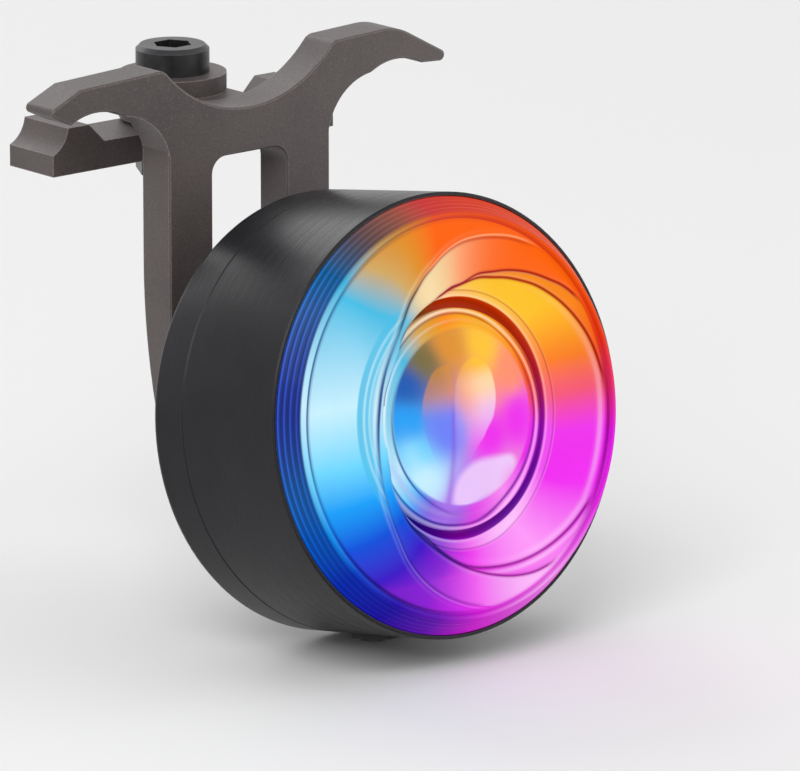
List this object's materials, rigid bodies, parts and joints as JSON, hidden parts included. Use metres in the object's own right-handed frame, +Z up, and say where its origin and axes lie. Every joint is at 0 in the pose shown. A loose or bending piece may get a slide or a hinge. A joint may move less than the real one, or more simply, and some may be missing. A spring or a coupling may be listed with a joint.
{
  "type": "bicycle tail light",
  "caption": "Round bicycle tail light with a swirl lens, on a tilting lug under a two-armed plate bracket that hangs from the rails of a saddle.",
  "frame": {"origin": "midway between the two saddle rail axes, in the middle of the bracket plate's thickness", "axes": "+Z up, the lens looks towards -Y, the rails run along Y"},
  "size_m": [0.0577, 0.0612, 0.0637],
  "materials": {
    "bracket_coat": "fine speckled powder coat",
    "drum_black": "satin black anodised aluminium",
    "cover_black": "satin black anodised aluminium",
    "screw_steel": "blackened steel",
    "washer_plastic": "natural nylon",
    "seal_rubber": "smooth silicone rubber",
    "lens_clear": "clear moulded acrylic, lit in colours",
    "centre_clear": "clear moulded acrylic, lit in colours",
    "reflector_white": "white moulded plastic",
    "board_green": "solder mask",
    "chip_white": "phosphor and white package",
    "chip_black": "moulded black package",
    "foam_grey": "foam tape",
    "cell_silver": "foil pouch",
    "socket_steel": "plated steel shell",
    "flap_rubber": "matt black rubber",
    "button_rubber": "matt black rubber"
  },
  "bodies": {
    "bracket": {"rail_bracket": "bracket_coat", "pivot_bolt": "screw_steel", "pivot_nut": "screw_steel", "tilt_washers": "washer_plastic"},
    "clamp_screw_body": {"clamp_screw": "screw_steel"},
    "clamp_bar_body": {"clamp_bar": "bracket_coat", "clamp_nut": "screw_steel"},
    "lamp": {"tilt_lug": "drum_black", "lug_screws": "screw_steel", "housing": "drum_black", "rear_cover": "cover_black", "cover_screws": "screw_steel", "cover_seal": "seal_rubber", "lens_seal": "seal_rubber", "lens": "lens_clear", "centre_lens": "centre_clear", "reflector": "reflector_white", "led_board": "board_green", "ring_leds": "chip_white", "centre_led": "chip_white", "main_board": "board_green", "board_chips": "chip_black", "battery_pad": "foam_grey", "battery": "cell_silver", "board_link": "chip_black", "charging_socket": "socket_steel", "tactile_switch": "chip_black"},
    "button": {"power_button": "button_rubber"},
    "flap": {"port_flap": "flap_rubber"}
  },
  "joints": [
    {"name": "clamp_turn", "type": "hinge", "parent": "bracket", "child": "clamp_screw_body", "pos_m": [0, 0.0116, 0.003], "axis": [0, 0, 1], "range_deg": [0, 1801]},
    {"name": "clamp_travel", "type": "slide", "parent": "bracket", "child": "clamp_bar_body", "axis": [0, 0, -1], "range_m": [0, 0.004]},
    {"name": "lamp_tilt", "type": "hinge", "parent": "bracket", "child": "lamp", "pos_m": [0, -0.0086, -0.0329], "axis": [1, 0, 0], "range_deg": [-15, 30]},
    {"name": "button_press", "type": "slide", "parent": "lamp", "child": "button", "axis": [-1, 0, 0], "range_m": [0, 0.0005], "stiffness_N_per_m": 3000},
    {"name": "flap_swing", "type": "hinge", "parent": "lamp", "child": "flap", "pos_m": [0.00545, -0.02967, -0.05433], "axis": [0, -0.9869, 0.1616], "range_deg": [0, 100]}
  ],
  "couplings": [
    {"joint": "clamp_turn", "follows": "clamp_travel", "rad_per_m": 7854}
  ]
}
